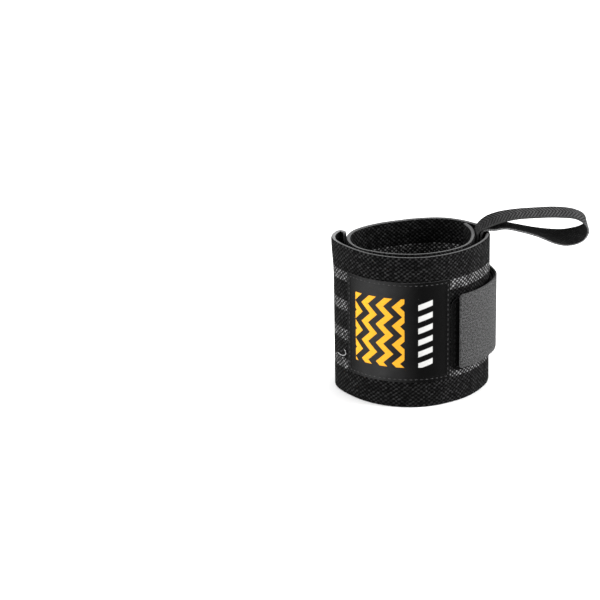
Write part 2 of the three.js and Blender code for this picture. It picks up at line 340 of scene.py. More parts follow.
def flat_blank(length, height, wall, step, corner=0, soft=0.35):
    """A flat cloth in millimetres: x along it, y through it, z up from its middle.

    The rounding of its cut edges is given as a share of its wall."""
    bm = bmesh.new()
    bmesh.ops.create_grid(bm, x_segments=1, y_segments=1, size=0.5)
    bmesh.ops.scale(bm, vec=(length, height, 1), verts=bm.verts)
    upright = Matrix.Rotation(math.radians(90), 3, "X")
    bmesh.ops.rotate(bm, cent=(0, 0, 0), matrix=upright, verts=bm.verts)
    bmesh.ops.translate(bm, vec=(length / 2, 0, 0), verts=bm.verts)
    if corner:
        bmesh.ops.bevel(
            bm, geom=bm.verts[:], affect="VERTICES", offset=corner, offset_type="OFFSET",
            segments=6, profile=0.5, material=-1,
        )
    cut_across(bm, 0, rows_between(0, length, step))
    cut_across(bm, 2, rows_between(-height / 2, height / 2, step))
    bmesh.ops.solidify(bm, geom=bm.faces[:], thickness=wall)
    low = min(vert.co.y for vert in bm.verts)
    bmesh.ops.translate(bm, vec=(0, -wall / 2 - low, 0), verts=bm.verts)
    bmesh.ops.recalc_face_normals(bm, faces=bm.faces)
    rim = [edge for edge in bm.edges if edge.calc_face_angle(0) > math.radians(60)]
    bmesh.ops.bevel(
        bm, geom=rim, affect="EDGES", offset=wall * soft, offset_type="OFFSET",
        segments=3, profile=0.5, material=-1,
    )
    return bm


# %% [markdown]
# ## Bending a blank, and keeping its flat pattern
#
# Before the blank is bent, the flat place of every corner is kept in a UV map, in metres. The
# weave, the stripes and the stitches are drawn on that map, so they keep their size and run
# with the cloth. The cut edges get a second material, because there the threads show end on.

# %% Bent pieces
# a face whose normal leans this far back or forward through the cloth belongs to a cut edge
# the back limit reaches further, so that the paler edge also covers the inner bevel as a painted
# highlight
EDGE_BACK, EDGE_FRONT = -0.8, 0.5


def finished_piece(name, bm):
    """Turn a finished bmesh into an object that stands at the origin and rides with the root."""
    mesh = bpy.data.meshes.new(name)
    bm.to_mesh(mesh)
    bm.free()
    mesh.polygons.foreach_set("use_smooth", [True] * len(mesh.polygons))
    piece = bpy.data.objects.new(name, mesh)
    bpy.context.scene.collection.objects.link(piece)
    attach(piece, "root")
    triangles = sum(len(polygon.vertices) - 2 for polygon in mesh.polygons)
    print(f"{name}: {triangles} triangles")
    return piece


def keep_flat_pattern(bm, along=0, up=0):
    """Keep the flat places in a UV map, and give the cut edges the second material.

    The edge material reaches further round the inner corner, as a painted highlight there."""
    bm.normal_update()
    pattern = bm.loops.layers.uv.new("flat")
    for face in bm.faces:
        face.material_index = 1 if EDGE_BACK < face.normal.y < EDGE_FRONT else 0
        for loop in face.loops:
            place = loop.vert.co
            loop[pattern].uv = ((place.x + along) * MM, (place.z + up) * MM)


def bend(bm, place_at):
    """Move every point of a flat cloth to its bent place."""
    for vert in bm.verts:
        vert.co = place_at(*vert.co) * MM
    bm.normal_update()


def bent_cloth(
    name, node, start, length, inner, wall, middle, height, step, corner=0, soft=0.35
):
    """A cloth cut flat, bent round the roll, and standing for a CAD node."""
    bm = flat_blank(length, height, wall, step, corner, soft)
    keep_flat_pattern(bm, start, middle)
    out = inner + wall / 2
    bend(bm, lambda x, y, z: on_roll(start + x, out + y, middle + z))
    piece = finished_piece(name, bm)
    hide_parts(node)
    return piece


# %% [markdown]
# ## The elastic band
#
# The band is one strip of woven elastic, about 2 mm thick and 80 mm wide. Its net of cuts is
# fine enough for the free upper corner, which curls in on itself at the left.

# %% Elastic band
band = bent_cloth(
    "band", "elastic_band", 0, band_length, -BAND_WALL / 2, BAND_WALL,
    BAND_WIDTH / 2, BAND_WIDTH, step=1.6, soft=0.45,
)

# %% [markdown]
# ## Label, loop patch, strap and hook pad
#
# Four thinner cloths lie on the band. The label is satin and the patch is brushed pile, and
# both are sewn down flat. The strap comes out from under the band's outer end, runs on round
# the roll over the patch, and carries the hook pad on its inner face.

# %% Label and loop patch
label_start = band_length - BARE_END - LABEL_LENGTH
on_band = BAND_WALL / 2 + LAYER_GAP
label = bent_cloth(
    "front_label", "label", label_start, LABEL_LENGTH, on_band, LABEL_WALL,
    LABEL_MIDDLE, LABEL_HEIGHT, step=1.2, corner=0.8,
)
patch_start = label_start - LAYER_GAP - PATCH_LENGTH
patch = bent_cloth(
    "pile_patch", "loop_patch", patch_start, PATCH_LENGTH, on_band, PATCH_WALL,
    PATCH_MIDDLE, PATCH_HEIGHT, step=1.2, corner=PATCH_CORNER,
)

# %% Strap and hook pad
strap = bent_cloth(
    "closing_strap", "hook_strap", strap_root, STRAP_LENGTH, strap_stand, STRAP_WALL,
    STRAP_MIDDLE, STRAP_HEIGHT, step=1.4, corner=STRAP_CORNER,
)
hooks = bent_cloth(
    "hook_face", "hook_pad", strap_tip - HOOK_INSET - HOOK_LENGTH, HOOK_LENGTH,
    strap_stand - LAYER_GAP - HOOK_WALL, HOOK_WALL, STRAP_MIDDLE,
    STRAP_HEIGHT - 2 * HOOK_INSET, step=1.4, corner=1,
)

# %% [markdown]
# ## The thumb loop
#
# The loop is one length of narrow ribbed tape. One leg runs down the band's whole width, the
# tape goes out and back as a flat loop above the rim, and the second leg is sewn over the
# first. It is cut flat like the rest and bent along a line through a short table of points.

# %% Middle line of the tape
# the tilt rides along with a knot as a third length, too short to change the distances
TILT_SHARE = 0.01

# out as a share of LOOP_REACH, rise as a share of LOOP_HEIGHT, and the tilt in degrees
LOOP = [
    (0.11, 0.29, 11), (0.21, 0.465, 11), (0.37, 0.593, 8), (0.55, 0.641, 8), (0.73, 0.655, 9),
    (0.89, 0.572, 8), (0.97, 0.366, 12), (0.985, 0.1, 14), (0.93, -0.145, 27),
    (0.82, -0.269, 29), (0.72, -0.24, 22), (0.55, -0.065, 5), (0.38, 0.1, 0), (0.27, 0.18, 0),
]
inner_leg = BAND_WALL / 2 + LAYER_GAP + TAPE_WALL / 2
outer_leg = inner_leg + TAPE_WALL + LAYER_GAP
over_rim = LAYER_GAP + TAPE_WALL / 2
crossing = spacing_at(360 + tape_turn)

tape_rows = [
    (inner_leg, TAPE_HEM - BAND_WIDTH, 0),
    (inner_leg, -BAND_WIDTH * 0.66, 0),
    (inner_leg, -BAND_WIDTH * 0.33, 0),
    (inner_leg, -4 * TAPE_WALL, 0),
    (inner_leg + 0.1 * TAPE_WALL, 0.5 * TAPE_WALL, 0),
    *[(out * LOOP_REACH, rise * LOOP_HEIGHT, tilt) for out, rise, tilt in LOOP],
    (crossing + 1.4 * BAND_WALL, over_rim + 0.8 * TAPE_WALL, 0),
    (outer_leg + 2.2 * TAPE_WALL, over_rim + 0.8 * TAPE_WALL, 0),
    (outer_leg + 0.5 * TAPE_WALL, over_rim, 0),
    (outer_leg, -1.2 * TAPE_WALL, 0),
    (outer_leg, -TAPE_RETURN * 0.6, 0),
    (outer_leg, -TAPE_RETURN, 0),
]
knots = [Vector((out, up, tilt * TILT_SHARE)) for out, up, tilt in tape_rows]

# %% Steps along that line
LINE_STEPS = 24


def slope(a, b, c, gap_before, gap_after):
    """Slope at b of a smooth line whose knots are as far apart as the root of their distance."""
    return (b - a) / gap_before - (c - a) / (gap_before + gap_after) + (c - b) / gap_after


def line_between(i, p):
    """Point of the tape's line between knots i and i + 1."""
    first, last = knots[i], knots[i + 1]
    before = knots[i - 1] if i > 0 else first * 2 - last
    after = knots[i + 2] if i + 2 < len(knots) else last * 2 - first
    gap = math.sqrt((last - first).length)
    start = slope(before, first, last, math.sqrt((first - before).length), gap) * gap
    end = slope(first, last, after, gap, math.sqrt((after - last).length)) * gap
    p2, p3 = p * p, p * p * p
    return (
        first * (2 * p3 - 3 * p2 + 1) + start * (p3 - 2 * p2 + p)
        + last * (3 * p2 - 2 * p3) + end * (p3 - p2)
    )


tape_line = [
    line_between(i, j / LINE_STEPS) for i in range(len(knots) - 1) for j in range(LINE_STEPS)
]
tape_line.append(knots[-1])
tape_lengths = [0.0]
for before, after in zip(tape_line, tape_line[1:]):
    tape_lengths.append(tape_lengths[-1] + (after - before).length)
tape_length = tape_lengths[-1]
print(f"The tape is {tape_length:.1f} mm long")

# %% Tape bent along the line
root = flat_point(TAPE_SET_IN)
root_out = outward_of(flat_point, TAPE_SET_IN)
out_axis = Vector((root_out.x, root_out.y, 0))
up_axis = Vector((0, 0, 1))
across_axis = up_axis.cross(out_axis)
loop_origin = Vector((root.x, root.y, BAND_WIDTH)) + ROLL_CENTRE

# the sewn legs follow the roll, and the tape is free of it above the rim and beyond the legs
LEAVES_BELOW = -6 * TAPE_WALL
FREE_BEYOND = outer_leg + 3 * TAPE_WALL
HEADING_STEP = 0.3


def tape_point(at):
    at = min(max(at, 0), tape_length)
    i = min(max(bisect.bisect_right(tape_lengths, at), 1), len(tape_line) - 1)
    share = (at - tape_lengths[i - 1]) / (tape_lengths[i] - tape_lengths[i - 1])
    return tape_line[i - 1].lerp(tape_line[i], share)


def on_tape(at, thick, wide):
    """A place on the tape: along it, through it and across it."""
    middle = tape_point(at)
    heading = tape_point(at + HEADING_STEP) - tape_point(at - HEADING_STEP)
    heading = Vector((heading.x, heading.y)).normalized()
    out = middle.x + heading.y * thick
    up = middle.y - heading.x * thick
    lying = on_roll(TAPE_SET_IN - wide, out, BAND_WIDTH + up)
    along = out_axis * heading.x + up_axis * heading.y
    across = across_axis + up_axis * math.tan(math.radians(middle.z / TILT_SHARE))
    across = (across - along * across.dot(along)).normalized()
    face = across.cross(along)
    free = loop_origin + out_axis * middle.x + up_axis * middle.y
    free = free + face * thick + across * wide
    freed = ease(middle.y, LEAVES_BELOW, 0)
    if middle.x > FREE_BEYOND:
        freed = 1
    return lying.lerp(free, freed)


tape_blank = flat_blank(tape_length, TAPE_WIDTH, TAPE_WALL, step=1.0, corner=0.3)
keep_flat_pattern(tape_blank)
for face in tape_blank.faces:
    if face.normal.y > EDGE_FRONT:
        face.material_index = 2
bend(tape_blank, on_tape)
tape = finished_piece("thumb_tape", tape_blank)
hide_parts("thumb_loop")

# %% [markdown]
# ## Seams
#
# Stitches are short raised threads in rows. Each is a small squashed ball of two dozen faces,
# set out on the flat cloth and bent with the same function, so that a row follows its cloth.

# %% Stitches
STITCH_THICK = 0.5
THREAD_PROUD = 0.05
LABEL_INSET = 1.5
PATCH_INSET, PATCH_INSET_START = 2.2, 2.4


def stitch_run(bm, start, end, out, stitch=2.4, gap=0.9):
    """A row of stitches on the flat cloth, from start to end as (along, up)."""
    start, end = Vector(start), Vector(end)
    way = end - start
    count = max(1, round(way.length / (stitch + gap)))
    turned = Matrix.Rotation(-math.atan2(way.y, way.x), 4, "Y")
    long = way.length / count - gap
    size = Matrix.Diagonal((long / 2, STITCH_THICK * 0.4, STITCH_THICK / 2, 1))
    for i in range(count):
        at = start + way * (i + 0.5) / count
        place = Matrix.Translation((at.x, out, at.y)) @ turned @ size
        bmesh.ops.create_uvsphere(bm, u_segments=6, v_segments=4, radius=1, matrix=place)


def box_of_stitches(bm, first, last, low, high, out, stitch=2.4):
    """Four rows of stitches, between two places along the cloth and two heights."""
    corners = [(first, low), (last, low), (last, high), (first, high), (first, low)]
    for start, end in zip(corners, corners[1:]):
        stitch_run(bm, start, end, out, stitch)


def sewn_on_roll(name, bm):
    bend(bm, on_roll)
    piece = finished_piece(name, bm)
    return piece


# %% Seams of the label and the patch
label_low, label_high = LABEL_MIDDLE - LABEL_HEIGHT / 2, LABEL_MIDDLE + LABEL_HEIGHT / 2
patch_low, patch_high = PATCH_MIDDLE - PATCH_HEIGHT / 2, PATCH_MIDDLE + PATCH_HEIGHT / 2
label_end = label_start + LABEL_LENGTH
patch_end = patch_start + PATCH_LENGTH

label_thread = bmesh.new()
box_of_stitches(
    label_thread, label_start + LABEL_INSET, label_end - LABEL_INSET,
    label_low + LABEL_INSET, label_high - LABEL_INSET, on_band + LABEL_WALL, stitch=1.7,
)
label_seam = sewn_on_roll("label_seam", label_thread)

patch_thread = bmesh.new()
box_of_stitches(
    patch_thread, patch_start + PATCH_INSET_START, patch_end - PATCH_INSET,
    patch_low + PATCH_INSET, patch_high - PATCH_INSET, on_band + PATCH_WALL,
)
patch_seam = sewn_on_roll("patch_seam", patch_thread)

# %% [markdown]
# A single pulled yarn lies on the band just left of the label, as on any wrap that has been
# closed against its own hooks. It is a chain of short yarn pieces along a few points.

# %% Pulled yarn
# along from the label's left edge, and up
YARN = [
    (11.0, 20.4), (8.6, 20.1), (6.2, 20.3), (4.2, 20.9), (2.9, 22.0), (3.1, 23.4), (4.3, 24.0),
]
YARN_THICK = 0.5


def yarn_along(bm, points, out):
    """A chain of long thin balls that overlap, from point to point of the flat cloth."""
    for start, end in zip(points, points[1:]):
        start, end = Vector(start), Vector(end)
        way = end - start
        turned = Matrix.Rotation(-math.atan2(way.y, way.x), 4, "Y")
        size = Matrix.Diagonal((way.length * 0.68, YARN_THICK / 2, YARN_THICK / 2, 1))
        middle = (start + end) / 2
        place = Matrix.Translation((middle.x, out, middle.y)) @ turned @ size
        bmesh.ops.create_uvsphere(bm, u_segments=8, v_segments=6, radius=1, matrix=place)


yarn_thread = bmesh.new()
yarn_points = [(label_end + along, up) for along, up in YARN]
yarn_along(yarn_thread, yarn_points, BAND_WALL / 2 + YARN_THICK / 2)
pulled_yarn = sewn_on_roll("pulled_yarn", yarn_thread)

# %% [markdown]
# Where the strap is sewn under the band's outer end, a box with a cross holds it. That is the
# usual seam on webbing, because it spreads the pull over the whole overlap. Short double rows,
# the bar tacks, hold the tape's two legs to the band.

# %% Seam of the strap, and the bar tacks of the thumb loop
SEAM_INSET, SEAM_BOX = 2.5, 11
TACK_INSET, TACK_ROWS = 1, (0, 0.9)
TACK_HEIGHTS = (6, 30, 54, BAND_WIDTH - TAPE_RETURN + 2, BAND_WIDTH - 5)

strap_thread = bmesh.new()
seam_end = band_length - SEAM_INSET
seam_start = seam_end - SEAM_BOX
seam_low, seam_high = STRAP_MIDDLE - STRAP_HEIGHT / 2 + 2, STRAP_TOP - 3
outside = BAND_WALL / 2 + THREAD_PROUD
box_of_stitches(strap_thread, seam_start, seam_end, seam_low, seam_high, outside)
stitch_run(strap_thread, (seam_start, seam_low), (seam_end, seam_high), outside)
stitch_run(strap_thread, (seam_start, seam_high), (seam_end, seam_low), outside)
strap_seam = sewn_on_roll("strap_seam", strap_thread)

tape_thread = bmesh.new()
inside = -BAND_WALL / 2 - THREAD_PROUD
tack_start = TAPE_SET_IN - TAPE_WIDTH / 2 + TACK_INSET
tack_end = TAPE_SET_IN + TAPE_WIDTH / 2 - TACK_INSET
for height in TACK_HEIGHTS:
    for up in TACK_ROWS:
        start, end = (tack_start, height + up), (tack_end, height + up)
        stitch_run(tape_thread, start, end, inside, stitch=1.3, gap=0.4)
tape_seam = sewn_on_roll("tape_seam", tape_thread)

# %% [markdown]
# ## Materials
#
# Every finish starts from the same two effects, knit and lint, so each of them is a node group
# that is built once. A group hands out masks, heights and lengths only. The colour, the
# roughness and the sheen stay in each material, where its shader is.

# %% Helpers for node trees
class Tree:
    """A node tree with short calls for the nodes that cloth needs."""

    def __init__(self, tree):
        self.tree = tree

    def add(self, kind, **settings):
        node = self.tree.nodes.new(kind)
        for name, value in settings.items():
            setattr(node, name, value)
        return node

    def feed(self, socket, value):
        if isinstance(value, bpy.types.NodeSocket):
            self.tree.links.new(value, socket)
        else:
            socket.default_value = value

    def math(self, operation, *values, clamp=False):
        node = self.add("ShaderNodeMath", operation=operation, use_clamp=clamp)
        for socket, value in zip(node.inputs, values):
            self.feed(socket, value)
        return node.outputs[0]

    def step(self, value, start, end):
        """0 before start, 1 after end, and smooth between."""
        node = self.add("ShaderNodeMapRange", interpolation_type="SMOOTHSTEP")
        for name, given in (("Value", value), ("From Min", start), ("From Max", end)):
            self.feed(node.inputs[name], given)
        return node.outputs["Result"]

    def inside(self, value, low, high, soft):
        """1 between low and high, and 0 outside."""
        rises = self.step(value, low - soft / 2, low + soft / 2)
        falls = self.step(value, high - soft / 2, high + soft / 2)
        return self.math("SUBTRACT", rises, falls, clamp=True)

    def wave(self, length, period):
        """A wave from 0 to 1, that is 1 at length 0 and at every period from there."""
        turned = self.math("MULTIPLY", length, 2 * math.pi / period)
        return self.math("MULTIPLY_ADD", self.math("COSINE", turned), 0.5, 0.5)

    def millimetres(self, place):
        """A place given in metres, in millimetres."""
        node = self.add("ShaderNodeVectorMath", operation="SCALE")
        self.feed(node.inputs[0], place)
        node.inputs["Scale"].default_value = 1 / MM
        return node.outputs[0]

    def noise(self, place, scale, detail, rough=0.5):
        node = self.add("ShaderNodeTexNoise")
        self.feed(node.inputs["Vector"], place)
        for name, given in (("Scale", scale), ("Detail", detail), ("Roughness", rough)):
            self.feed(node.inputs[name], given)
        return node.outputs["Fac"]

    def mix(self, share, first, second):
        node = self.add("ShaderNodeMix", data_type="RGBA")
        self.feed(node.inputs["Factor"], share)
        self.feed(node.inputs["A"], first)
        self.feed(node.inputs["B"], second)
        return node.outputs["Result"]


def new_group(name, inputs, outputs):
    """A shader node group with named values in and out."""
    tree = bpy.data.node_groups.new(name, "ShaderNodeTree")
    for title, kind, value in inputs:
        socket = tree.interface.new_socket(title, in_out="INPUT", socket_type=kind)
        if value is not None:
            socket.default_value = value
    for title in outputs:
        tree.interface.new_socket(title, in_out="OUTPUT", socket_type="NodeSocketFloat")
    helper = Tree(tree)
    given = helper.add("NodeGroupInput")
    result = helper.add("NodeGroupOutput")
    return tree, helper, given.outputs, result.inputs


# %% [markdown]
# ### Knit
#
# Elastic webbing shows small stitches in rows, each row shifted by half a stitch. Two waves
# multiplied give just that: their product is high at every second crossing. Two noises bend the
# rows, a slow one by Wander and a quick one by Ragged, because elastic never lies perfectly
# even. Vary gives each stitch a value of its own, so that some are thick and some hardly show.

# %% Knit group
knit_group, g, given, result = new_group(
    "knit",
    [
        ("Place", "NodeSocketVector", None),
        ("Stitch Length", "NodeSocketFloat", 2.7),
        ("Row Height", "NodeSocketFloat", 1.1),
        ("Wander", "NodeSocketFloat", 0.25),
        ("Ragged", "NodeSocketFloat", 0.0),
    ],
    ["Dots", "Height", "Vary", "Along", "Up"],
)
millimetres = g.millimetres(given["Place"])
parts = g.add("ShaderNodeSeparateXYZ")
g.feed(parts.inputs[0], millimetres)
along, up = parts.outputs["X"], parts.outputs["Y"]
wander = g.noise(millimetres, 0.35, 3.0)
wander = g.math("MULTIPLY", g.math("SUBTRACT", wander, 0.5), given["Wander"])
ragged = g.noise(millimetres, 0.9, 2.0, 0.6)
ragged = g.math("MULTIPLY", g.math("SUBTRACT", ragged, 0.5), given["Ragged"])
bent_up = g.math("ADD", up, g.math("ADD", wander, ragged))
sideways = g.math("MULTIPLY", g.math("SUBTRACT", wander, ragged), 2.0)
bent_along = g.math("ADD", along, sideways)
across = g.math("DIVIDE", bent_along, g.math("DIVIDE", given["Stitch Length"], 2.0))
rows = g.math("DIVIDE", bent_up, given["Row Height"])
wave_along = g.math("COSINE", g.math("MULTIPLY", across, math.pi))
wave_up = g.math("COSINE", g.math("MULTIPLY", rows, math.pi))
product = g.math("MULTIPLY", wave_along, wave_up)
stitch = g.add("ShaderNodeCombineXYZ")
for axis, operation in (("X", "ADD"), ("Y", "SUBTRACT")):
    diagonal = g.math("DIVIDE", g.math(operation, across, rows), 2.0)
    g.feed(stitch.inputs[axis], g.math("ROUND", diagonal))
chance = g.add("ShaderNodeTexWhiteNoise", noise_dimensions="2D")
g.feed(chance.inputs["Vector"], stitch.outputs[0])
g.feed(result["Vary"], chance.outputs["Value"])
thinner = g.math("MULTIPLY", g.math("SUBTRACT", chance.outputs["Value"], 0.5), given["Ragged"])
g.feed(result["Dots"], g.step(g.math("MULTIPLY_ADD", thinner, 0.5, product), 0.1, 0.8))
g.feed(result["Height"], g.math("MULTIPLY_ADD", product, 0.5, 0.5))
g.feed(result["Along"], along)
g.feed(result["Up"], up)
print("Node group:", knit_group.name)

# %% [markdown]
# ### Lint
#
# Real threads vary, and dark cloth shows every pale fibre. The lint group gives a fine fleck
# mask, a broad worn mask and a short-fibre mask, all of them read from the same place.

# %% Lint group
lint_group, g, given, result = new_group(
    "lint",
    [("Place", "NodeSocketVector", None), ("Fleck Size", "NodeSocketFloat", 0.5)],
    ["Flecks", "Broad", "Fibres"],
)
millimetres = g.millimetres(given["Place"])
scale = g.math("DIVIDE", 1.0, given["Fleck Size"])
g.feed(result["Flecks"], g.step(g.noise(millimetres, scale, 3.0, 0.7), 0.38, 0.68))
g.feed(result["Broad"], g.step(g.noise(millimetres, 0.09, 3.0), 0.3, 0.7))
stretched = g.add("ShaderNodeMapping")
g.feed(stretched.inputs["Vector"], millimetres)
stretched.inputs["Scale"].default_value = (0.35, 2.4, 1)
g.feed(result["Fibres"], g.step(g.noise(stretched.outputs[0], 1.2, 4.0, 0.7), 0.55, 0.8))
print("Node group:", lint_group.name)


# %% A cloth material
# a row so high that the knit shows only the waves along the cloth
ONE_ROW = 30.0


def grey(level):
    """A grey with a trace of blue."""
    return (level, level, level * 1.01, 1)


def new_material(name, roughness, sheen=0.0, specular=0.1):
    """A new material, its tree and its shader."""
    material = bpy.data.materials.new(name)
    material.use_nodes = True
    shader = next(node for node in material.node_tree.nodes if node.type == "BSDF_PRINCIPLED")
    shader.inputs["Roughness"].default_value = roughness
    shader.inputs["Sheen Weight"].default_value = sheen
    shader.inputs["Specular IOR Level"].default_value = specular
    return material, Tree(material.node_tree), shader


def cloth_material(name, roughness, sheen=0.0, specular=0.1):
    """A new material, its tree, its shader and the place on the flat cloth."""
    material, tree, shader = new_material(name, roughness, sheen, specular)
    return material, tree, shader, tree.add("ShaderNodeUVMap", uv_map="flat").outputs[0]


def put_group(tree, group, place, **values):
    """One of the groups in a material's tree, as its outputs."""
    node = tree.add("ShaderNodeGroup", node_tree=group)
    tree.feed(node.inputs["Place"], place)
    for title, value in values.items():
        tree.feed(node.inputs[title.replace("_", " ")], value)
    return node.outputs


def bump(tree, shader, height, distance):
    """A relief, with the distance in millimetres."""
    node = tree.add("ShaderNodeBump")
    node.inputs["Distance"].default_value = distance * MM
    tree.feed(node.inputs["Height"], height)
    tree.feed(shader.inputs["Normal"], node.outputs[0])


def blend(tree, mask, share, first, second):
    """First, with a share of second where the mask is."""
    return tree.mix(tree.math("MULTIPLY", mask, share), first, second)


def flecked_edge(name, roughness):
    """The cut edge of a thin cloth."""
    material, tree, shader, place = cloth_material(name, roughness)
    lint = put_group(tree, lint_group, place, Fleck_Size=0.4)
    tree.feed(shader.inputs["Base Color"], tree.mix(lint["Flecks"], grey(0.03), grey(0.09)))
    return material


# %% [markdown]
# ### Black elastic with four grey stripes
#
# The stripes aren't printed: there the weaver lets grey stitches show on top of the black. So
# one knit pattern covers the band, and a mask of four stripes only says how bright its stitches
# are. In the black ground most stitches lie deep and stay dark, and the ones that stick out
# catch a little light. The cut edge is paler, and a painted highlight makes it paler still at
# the free corner, where the curled rim catches the light.

# %% Band material
STRIPES = 4
STRIPE_FIRST, STRIPE_STEP, STRIPE_WIDTH = 16.7, 15.7, 5.4

band_cloth, t, shader, place = cloth_material("striped_elastic", 0.9, specular=0.03)
knit = put_group(t, knit_group, place, Stitch_Length=2.7, Row_Height=1.1, Wander=0.5, Ragged=0.9)
lint = put_group(t, lint_group, place, Fleck_Size=0.55)
stripes = None
for i in range(STRIPES):
    low = STRIPE_FIRST + STRIPE_STEP * i - STRIPE_WIDTH / 2
    stripe = t.inside(knit["Up"], low, low + STRIPE_WIDTH, 0.5)
    stripes = stripe if stripes is None else t.math("ADD", stripes, stripe)
uneven = t.math("MULTIPLY_ADD", lint["Flecks"], 0.35, knit["Height"])
lifted = t.step(uneven, 0.5, 0.95)
lifted = t.math("MULTIPLY", lifted, t.math("MULTIPLY_ADD", knit["Vary"], 0.8, 0.2))
ground = t.mix(lifted, grey(0.0004), grey(0.027))
ground = blend(t, lint["Flecks"], 0.1, ground, grey(0.009))
shown = t.math("MULTIPLY", knit["Dots"], t.math("MULTIPLY_ADD", knit["Vary"], 0.5, 0.5))
threads = t.mix(shown, grey(0.005), grey(0.225))
threads = blend(t, lint["Flecks"], 0.2, threads, grey(0.09))
t.feed(shader.inputs["Base Color"], t.mix(stripes, ground, threads))
relief = t.math("MULTIPLY_ADD", lint["Flecks"], 0.3, knit["Height"])
bump(t, shader, relief, 0.4)

# %% Band edge material
# the painted highlight on the curled end's edge rises within this length from where the curl
# starts
CURL_HIGHLIGHT_WITHIN = 14

band_edge, t, shader, place = cloth_material("elastic_edge", 0.8, sheen=0.05, specular=0.2)
lint = put_group(t, lint_group, place, Fleck_Size=0.5)
knit = put_group(t, knit_group, place, Stitch_Length=1.6, Row_Height=ONE_ROW, Wander=0.3)
edge_colour = t.mix(knit["Height"], grey(0.02), grey(0.07))
edge_colour = blend(t, lint["Flecks"], 0.7, edge_colour, grey(0.11))
# painted highlight: the edge is paler along the curled free end, where the rim catches the light
painted_curl_highlight = t.step(knit["Along"], curl_start, curl_start + CURL_HIGHLIGHT_WITHIN)
edge_colour = blend(t, painted_curl_highlight, 0.6, edge_colour, grey(0.2))
t.feed(shader.inputs["Base Color"], edge_colour)
bump(t, shader, knit["Height"], 0.3)
band.data.materials.append(band_cloth)
band.data.materials.append(band_edge)

# %% [markdown]
# ### Satin label
#
# A woven label has a smooth, slightly shiny ground of very fine stitches, with a painted
# highlight across its middle. The design is plain: an amber zigzag panel and a column of pale
# bars, woven into the ground. Both are masks worked out from the flat place, so they bend with
# the label. A folded hem shows as a raised line along its border.

# %% Label material
DESIGN_LOW, DESIGN_HIGH = 8.0, 44.5
ZIGZAG_FIRST, ZIGZAG_LAST = 23.5, 50.0
ZIGZAG_SWING, ZIGZAG_STEP = 5.0, 8.2
BARS_FIRST, BARS_LAST = 10.0, 17.0
BARS_LEAN, BARS_STEP = 0.35, 6.2
# where the painted highlight lies across the label, and how soft its sides are
SHEEN_PAINTED_FIRST, SHEEN_PAINTED_LAST, SHEEN_PAINTED_SOFT = 25.0, 49.0, 22.0
HEM_WIDTH = 2.6
AMBER = (0.66, 0.308, 0.024, 1)
PALE = (0.52, 0.52, 0.51, 1)

label_cloth, t, shader, place = cloth_material("label_satin", 0.4, specular=0.02)
knit = put_group(t, knit_group, place, Stitch_Length=0.9, Row_Height=0.45, Wander=0.1)
lint = put_group(t, lint_group, place, Fleck_Size=0.35)
along = t.math("SUBTRACT", knit["Along"], label_start)
up = t.math("SUBTRACT", knit["Up"], label_low)


def panel(t, along, up, first, last):
    """1 in a panel as high as the design."""
    within = t.inside(up, DESIGN_LOW, DESIGN_HIGH, 0.3)
    return t.math("MULTIPLY", t.inside(along, first, last, 0.3), within)


def zigzag_lines(t, along, up):
    """Parallel zigzag lines that run up the cloth."""
    shifted = t.math("ADD", along, t.math("PINGPONG", up, ZIGZAG_SWING))
    share = t.math("FRACT", t.math("DIVIDE", shifted, ZIGZAG_STEP))
    return t.inside(share, 0.12, 0.6, 0.04)


def slanted_bars(t, along, up):
    """A column of slanted bars."""
    leaning = t.math("MULTIPLY_ADD", along, BARS_LEAN, up)
    share = t.math("FRACT", t.math("DIVIDE", leaning, BARS_STEP))
    return t.inside(share, 0.14, 0.62, 0.06)


# %% Design and hem of the label
amber = t.math(
    "MULTIPLY", zigzag_lines(t, along, up), panel(t, along, up, ZIGZAG_FIRST, ZIGZAG_LAST)
)
pale = t.math("MULTIPLY", slanted_bars(t, along, up), panel(t, along, up, BARS_FIRST, BARS_LAST))
# painted highlight: the ground is unevenly lighter across the middle of the label, where satin
# shines
painted_sheen = t.inside(along, SHEEN_PAINTED_FIRST, SHEEN_PAINTED_LAST, SHEEN_PAINTED_SOFT)
painted_sheen = t.math("MULTIPLY", painted_sheen, t.math("MULTIPLY_ADD", lint["Broad"], 0.3, 0.7))
satin = t.mix(painted_sheen, grey(0.001), grey(0.024))
satin = blend(t, knit["Dots"], 0.1, satin, grey(0.012))
satin = blend(t, lint["Flecks"], 0.08, satin, grey(0.02))
design = t.mix(amber, satin, AMBER)
design = t.mix(pale, design, PALE)
woven = t.math("MAXIMUM", amber, pale)
border_along = t.math("MINIMUM", along, t.math("SUBTRACT", LABEL_LENGTH, along))
border_up = t.math("MINIMUM", up, t.math("SUBTRACT", LABEL_HEIGHT, up))
border = t.inside(t.math("MINIMUM", border_along, border_up), 0.0, HEM_WIDTH, 0.5)
t.feed(shader.inputs["Base Color"], design)
t.feed(shader.inputs["Roughness"], t.math("MULTIPLY_ADD", woven, 0.2, 0.42))
relief = t.math("MULTIPLY_ADD", woven, 0.6, knit["Height"])
relief = t.math("MULTIPLY_ADD", border, 1.2, relief)
bump(t, shader, relief, 0.16)
label.data.materials.append(label_cloth)
label.data.materials.append(flecked_edge("label_edge", 0.6))

# %% [markdown]
# ### Pile, knit strap and hooks
#
# Brushed pile drinks light, so its colour is nearly black and its relief is coarse. The strap
# is a smooth grey knit with a fine grain. The hook pad is a field of tiny stiff hooks.

